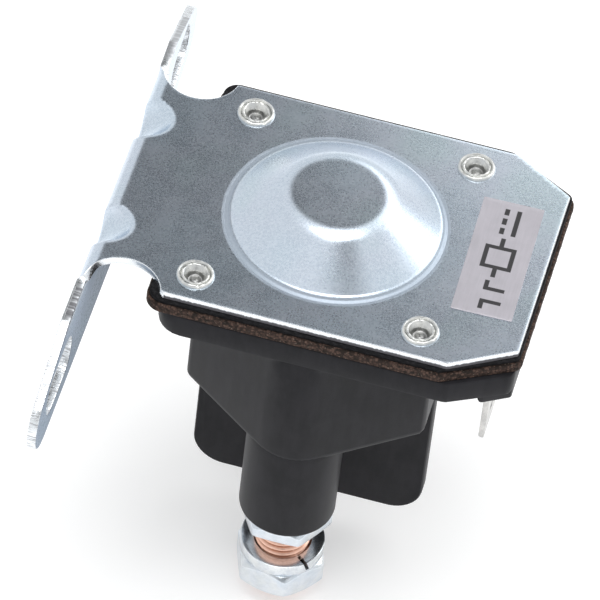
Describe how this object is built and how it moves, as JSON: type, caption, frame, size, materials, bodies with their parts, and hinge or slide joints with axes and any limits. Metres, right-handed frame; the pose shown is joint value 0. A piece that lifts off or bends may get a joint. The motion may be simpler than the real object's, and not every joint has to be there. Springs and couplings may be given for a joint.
{
  "type": "starter solenoid relay",
  "caption": "Starter solenoid relay: domed steel bracket with slotted ears over a black moulded housing with threaded studs, nuts, a barrier and blade terminals.",
  "frame": {"origin": "on the bracket's mounting face, midway between its two slots", "axes": "+X from the mounting face towards the blade terminals, +Y along the line of slots, +Z out of the domed top plate; the studs point down -Z"},
  "size_m": [0.0621, 0.0872, 0.0652],
  "materials": {
    "zinc_steel": "satin zinc plate",
    "rivet_steel": "bright zinc plate",
    "label_foil": "printed foil",
    "black_rubber": "matt",
    "cork_rubber": "granular",
    "black_moulding": "satin moulding",
    "copper": "bright turned copper",
    "nut_steel": "bright zinc plate",
    "tinned_brass": "tin plate",
    "coil_steel": "plain",
    "bobbin_nylon": "natural nylon",
    "coil_wire": "enamelled wire",
    "coil_tape": "adhesive tape",
    "stem_brass": "turned",
    "spring_steel": "drawn wire",
    "fibre": "vulcanised fibre"
  },
  "bodies": {
    "case": {"mounting_bracket": "zinc_steel", "plate_rivets": "rivet_steel", "rating_label": "label_foil", "rubber_gasket": "black_rubber", "cork_gasket": "cork_rubber", "housing": "black_moulding", "coil_frame": "coil_steel", "coil_bobbin": "bobbin_nylon", "coil_winding": "coil_wire", "winding_tape": "coil_tape", "cushion_washer": "fibre", "pole_core": "coil_steel", "return_spring": "spring_steel", "front_stud": "copper", "rear_stud": "copper", "base_nuts": "nut_steel", "front_blade": "tinned_brass", "rear_blade": "tinned_brass", "front_coil_lead": "coil_wire", "rear_coil_lead": "coil_wire"},
    "plunger_group": {"plunger": "coil_steel", "plunger_stem": "stem_brass", "stem_clip": "spring_steel", "contact_spring": "spring_steel"},
    "contact_bridge": {"contact_bar": "copper", "bar_bush": "fibre", "bar_washer": "fibre"},
    "front_washer": {"front_lock_washer": "nut_steel"},
    "front_nut": {"front_outer_nut": "nut_steel"},
    "rear_washer": {"rear_lock_washer": "nut_steel"},
    "rear_nut": {"rear_outer_nut": "nut_steel"}
  },
  "joints": [
    {"name": "plunger_slide", "type": "slide", "parent": "case", "child": "plunger_group", "axis": [0, 0, -1], "range_m": [0, 0.0026], "stiffness_N_per_m": 500, "springref_m": -0.004, "deforming": ["return_spring"]},
    {"name": "contact_bar_slide", "type": "slide", "parent": "plunger_group", "child": "contact_bridge", "axis": [0, 0, 1], "range_m": [0, 0.0006], "deforming": ["contact_spring"]},
    {"name": "front_nut_travel", "type": "slide", "parent": "case", "child": "front_washer", "axis": [0, 0, -1], "range_m": [-0.005, 0.002]},
    {"name": "front_nut_turn", "type": "hinge", "parent": "front_washer", "child": "front_nut", "pos_m": [0.03195, -0.0138, -0.0472], "axis": [0, 0, -1], "range_deg": [-1702, 681]},
    {"name": "rear_nut_travel", "type": "slide", "parent": "case", "child": "rear_washer", "axis": [0, 0, -1], "range_m": [-0.005, 0.002]},
    {"name": "rear_nut_turn", "type": "hinge", "parent": "rear_washer", "child": "rear_nut", "pos_m": [0.03195, 0.0162, -0.0472], "axis": [0, 0, -1], "range_deg": [-1702, 681]}
  ],
  "couplings": [
    {"joint": "contact_bar_slide", "follows": "plunger_slide", "ratio": 0.23},
    {"joint": "front_nut_turn", "follows": "front_nut_travel", "rad_per_m": 5938.7},
    {"joint": "rear_nut_turn", "follows": "rear_nut_travel", "rad_per_m": 5938.7}
  ]
}
